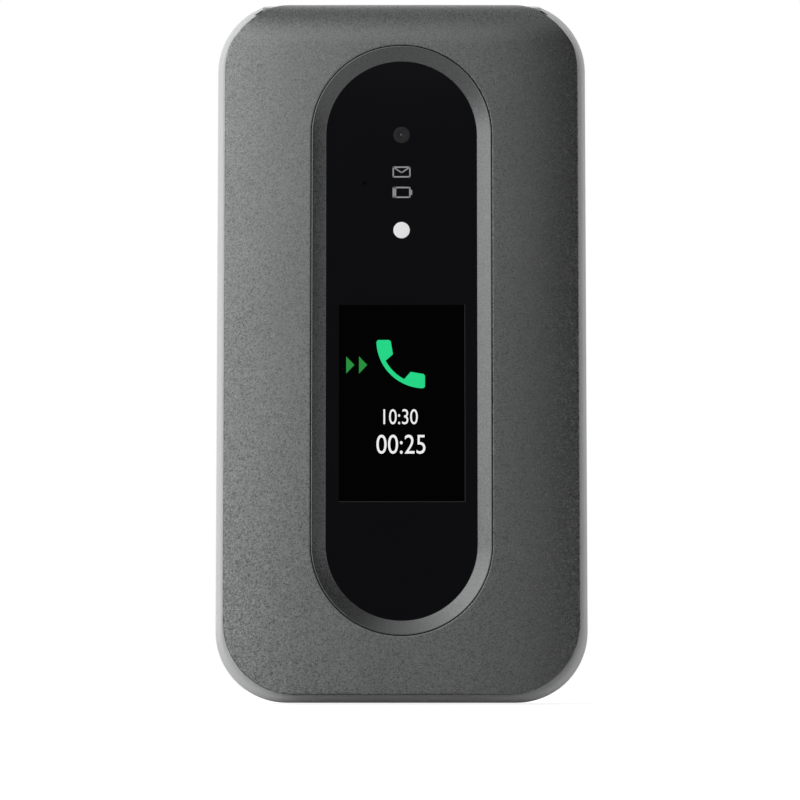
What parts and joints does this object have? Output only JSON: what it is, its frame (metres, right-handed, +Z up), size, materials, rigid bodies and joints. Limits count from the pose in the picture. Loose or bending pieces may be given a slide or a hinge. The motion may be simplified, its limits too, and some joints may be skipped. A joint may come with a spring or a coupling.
{
  "type": "flip phone",
  "caption": "Clamshell mobile phone that opens on a top hinge, with a pill-shaped front window, inner screen, large sprung keys, volume rocker and lift-off back cover.",
  "frame": {"origin": "middle of the flat bottom end, on which the closed phone stands", "axes": "+X across the width, +Y from the lid's outer face to the back cover, +Z up to the hinge"},
  "size_m": [0.0564, 0.019, 0.1074],
  "materials": {
    "graphite": "satin metallic paint with a fine sparkle grain",
    "graphite_fine": "satin metallic paint, finer grain",
    "black_window": "high gloss",
    "display_glass": "gloss",
    "white_lens": "translucent",
    "pale_shell": "satin silver-white paint",
    "pale_key": "satin",
    "dark_key": "satin",
    "black_plastic": "matte",
    "grey_rubber": "matte",
    "bright_steel": "brushed",
    "hinge_steel": "turned",
    "steel_mesh": "fine mesh",
    "gold_contact": "gold plated",
    "circuit_board": "solder mask",
    "battery_wrap": "film"
  },
  "bodies": {
    "base": {"base_front": "pale_shell", "base_back": "pale_shell", "battery": "battery_wrap", "battery_contacts": "gold_contact", "main_board": "circuit_board", "dome_sheet": "bright_steel", "shield_cans": "bright_steel", "loudspeaker": "black_plastic", "vibration_motor": "bright_steel", "usb_port": "bright_steel", "headset_jack": "black_plastic", "charging_contacts": "gold_contact", "sim_holder": "bright_steel", "antenna": "gold_contact", "microphone": "bright_steel", "base_screws": "bright_steel", "hinge_cartridge": "hinge_steel", "hinge_spring": "hinge_steel"},
    "lid": {"outer_cover": "graphite", "window_trim": "graphite_fine", "front_window": "black_window", "outer_display": "display_glass", "camera_module": "black_plastic", "flash_led": "white_lens", "status_icons": "white_lens", "lid_board": "circuit_board", "inner_display": "display_glass", "inner_window": "black_window", "lid_frame": "pale_shell", "earpiece": "black_plastic", "earpiece_mesh": "steel_mesh", "lid_magnet": "bright_steel", "lid_bumpers": "grey_rubber", "lid_screws": "bright_steel", "hinge_shaft": "hinge_steel", "hinge_bush": "hinge_steel"},
    "back_cover": {"back_cover": "graphite"},
    "volume_rocker": {"volume_rocker": "pale_key"},
    "assist_button": {"assist_button": "pale_key"},
    "key_star": {"key_star": "dark_key"},
    "key_0": {"key_0": "dark_key"},
    "key_hash": {"key_hash": "dark_key"},
    "key_7": {"key_7": "dark_key"},
    "key_8": {"key_8": "dark_key"},
    "key_9": {"key_9": "dark_key"},
    "key_4": {"key_4": "dark_key"},
    "key_5": {"key_5": "dark_key"},
    "key_6": {"key_6": "dark_key"},
    "key_1": {"key_1": "dark_key"},
    "key_2": {"key_2": "dark_key"},
    "key_3": {"key_3": "dark_key"},
    "key_soft_left": {"key_soft_left": "dark_key"},
    "key_soft_right": {"key_soft_right": "dark_key"},
    "key_call": {"key_call": "dark_key"},
    "key_end": {"key_end": "dark_key"},
    "key_up": {"key_up": "dark_key"},
    "key_left": {"key_left": "dark_key"},
    "key_down": {"key_down": "dark_key"},
    "key_right": {"key_right": "dark_key"},
    "key_ok": {"key_ok": "pale_key"}
  },
  "joints": [
    {"name": "lid_hinge", "type": "hinge", "parent": "base", "child": "lid", "pos_m": [0, -0.0024, 0.1003], "axis": [-1, 0, 0], "range_deg": [0, 150]},
    {"name": "back_cover_lift", "type": "slide", "parent": "base", "child": "back_cover", "axis": [0, 1, 0], "range_m": [0, 0.012]},
    {"name": "volume_rock", "type": "hinge", "parent": "base", "child": "volume_rocker", "pos_m": [0.02545, 0.00438, 0.0754], "axis": [0, 1, 0], "range_deg": [-2, 2], "stiffness_Nm_per_rad": 0.12},
    {"name": "assist_press", "type": "slide", "parent": "base", "child": "assist_button", "axis": [0, -1, 0], "range_m": [0, 0.0005], "stiffness_N_per_m": 3000},
    {"name": "star_press", "type": "slide", "parent": "base", "child": "key_star", "axis": [0, 1, 0], "range_m": [0, 0.00035], "stiffness_N_per_m": 3000},
    {"name": "0_press", "type": "slide", "parent": "base", "child": "key_0", "axis": [0, 1, 0], "range_m": [0, 0.00035], "stiffness_N_per_m": 3000},
    {"name": "hash_press", "type": "slide", "parent": "base", "child": "key_hash", "axis": [0, 1, 0], "range_m": [0, 0.00035], "stiffness_N_per_m": 3000},
    {"name": "7_press", "type": "slide", "parent": "base", "child": "key_7", "axis": [0, 1, 0], "range_m": [0, 0.00035], "stiffness_N_per_m": 3000},
    {"name": "8_press", "type": "slide", "parent": "base", "child": "key_8", "axis": [0, 1, 0], "range_m": [0, 0.00035], "stiffness_N_per_m": 3000},
    {"name": "9_press", "type": "slide", "parent": "base", "child": "key_9", "axis": [0, 1, 0], "range_m": [0, 0.00035], "stiffness_N_per_m": 3000},
    {"name": "4_press", "type": "slide", "parent": "base", "child": "key_4", "axis": [0, 1, 0], "range_m": [0, 0.00035], "stiffness_N_per_m": 3000},
    {"name": "5_press", "type": "slide", "parent": "base", "child": "key_5", "axis": [0, 1, 0], "range_m": [0, 0.00035], "stiffness_N_per_m": 3000},
    {"name": "6_press", "type": "slide", "parent": "base", "child": "key_6", "axis": [0, 1, 0], "range_m": [0, 0.00035], "stiffness_N_per_m": 3000},
    {"name": "1_press", "type": "slide", "parent": "base", "child": "key_1", "axis": [0, 1, 0], "range_m": [0, 0.00035], "stiffness_N_per_m": 3000},
    {"name": "2_press", "type": "slide", "parent": "base", "child": "key_2", "axis": [0, 1, 0], "range_m": [0, 0.00035], "stiffness_N_per_m": 3000},
    {"name": "3_press", "type": "slide", "parent": "base", "child": "key_3", "axis": [0, 1, 0], "range_m": [0, 0.00035], "stiffness_N_per_m": 3000},
    {"name": "soft_left_press", "type": "slide", "parent": "base", "child": "key_soft_left", "axis": [0, 1, 0], "range_m": [0, 0.00035], "stiffness_N_per_m": 3000},
    {"name": "soft_right_press", "type": "slide", "parent": "base", "child": "key_soft_right", "axis": [0, 1, 0], "range_m": [0, 0.00035], "stiffness_N_per_m": 3000},
    {"name": "call_press", "type": "slide", "parent": "base", "child": "key_call", "axis": [0, 1, 0], "range_m": [0, 0.00035], "stiffness_N_per_m": 3000},
    {"name": "end_press", "type": "slide", "parent": "base", "child": "key_end", "axis": [0, 1, 0], "range_m": [0, 0.00035], "stiffness_N_per_m": 3000},
    {"name": "up_press", "type": "slide", "parent": "base", "child": "key_up", "axis": [0, 1, 0], "range_m": [0, 0.00035], "stiffness_N_per_m": 3000},
    {"name": "left_press", "type": "slide", "parent": "base", "child": "key_left", "axis": [0, 1, 0], "range_m": [0, 0.00035], "stiffness_N_per_m": 3000},
    {"name": "down_press", "type": "slide", "parent": "base", "child": "key_down", "axis": [0, 1, 0], "range_m": [0, 0.00035], "stiffness_N_per_m": 3000},
    {"name": "right_press", "type": "slide", "parent": "base", "child": "key_right", "axis": [0, 1, 0], "range_m": [0, 0.00035], "stiffness_N_per_m": 3000},
    {"name": "ok_press", "type": "slide", "parent": "base", "child": "key_ok", "axis": [0, 1, 0], "range_m": [0, 0.00035], "stiffness_N_per_m": 3000}
  ]
}
